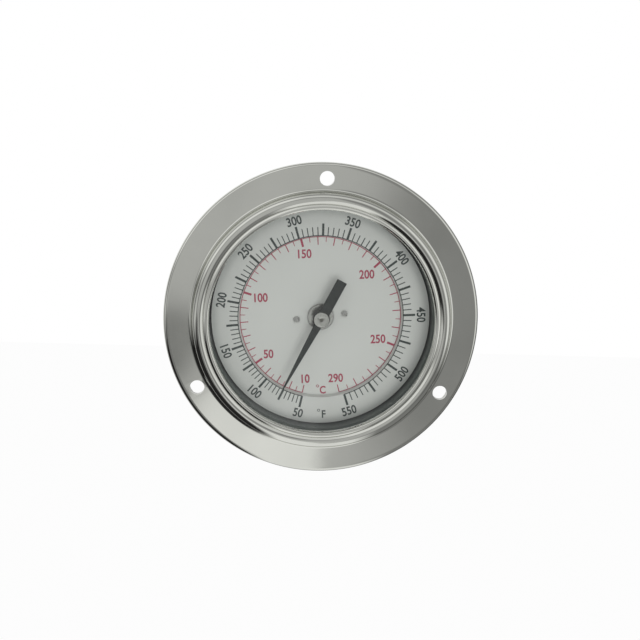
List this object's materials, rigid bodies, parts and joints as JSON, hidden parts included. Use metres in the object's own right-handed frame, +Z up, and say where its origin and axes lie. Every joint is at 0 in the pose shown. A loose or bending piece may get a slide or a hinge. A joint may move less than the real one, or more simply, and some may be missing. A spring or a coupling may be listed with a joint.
{
  "type": "dial thermometer",
  "caption": "Panel-mount bimetal dial thermometer: polished flanged bezel with screw holes, glass over a dual-scale dial, and a pointer on a shaft turned by a helix in a rear stem.",
  "frame": {"origin": "centre of the plane where the back of the flange meets the panel", "axes": "+Z up on the dial, +Y along the stem away from the reader, the dial faces -Y"},
  "size_m": [0.0952, 0.089, 0.0952],
  "materials": {
    "bezel_steel": "polished stainless steel",
    "case_steel": "drawn stainless steel, satin",
    "stem_steel": "ground stainless tube",
    "plated_steel": "zinc plated",
    "nickel": "nickel plate, turned",
    "brass": "turned brass",
    "bimetal": "rolled bimetal strip",
    "seal_rubber": "black rubber",
    "clear_glass": "clear float glass",
    "dial_enamel": "pale grey satin enamel",
    "pointer_black": "matt black paint"
  },
  "bodies": {
    "housing": {"flanged_bezel": "bezel_steel", "case_cup": "case_steel", "glass": "clear_glass", "glass_gasket": "seal_rubber", "dial": "dial_enamel", "dial_screws": "plated_steel", "stem_head": "case_steel", "head_gasket": "seal_rubber", "lock_washer": "plated_steel", "locknut": "plated_steel", "stem_tube": "stem_steel", "stem_tip_plug": "stem_steel", "shaft_bearing": "nickel", "shaft_guide": "brass", "helix_anchor": "brass", "bimetal_helix": "bimetal"},
    "pointer": {"pointer_blade": "pointer_black", "pointer_hub": "nickel", "pointer_shaft": "plated_steel", "helix_collar": "brass"}
  },
  "joints": [
    {"name": "pointer_turn", "type": "hinge", "parent": "housing", "child": "pointer", "pos_m": [0, 0, 0], "axis": [0, 1, 0], "range_deg": [-15.04, 314.96], "stiffness_Nm_per_rad": 0.0005, "deforming": ["bimetal_helix"]}
  ]
}
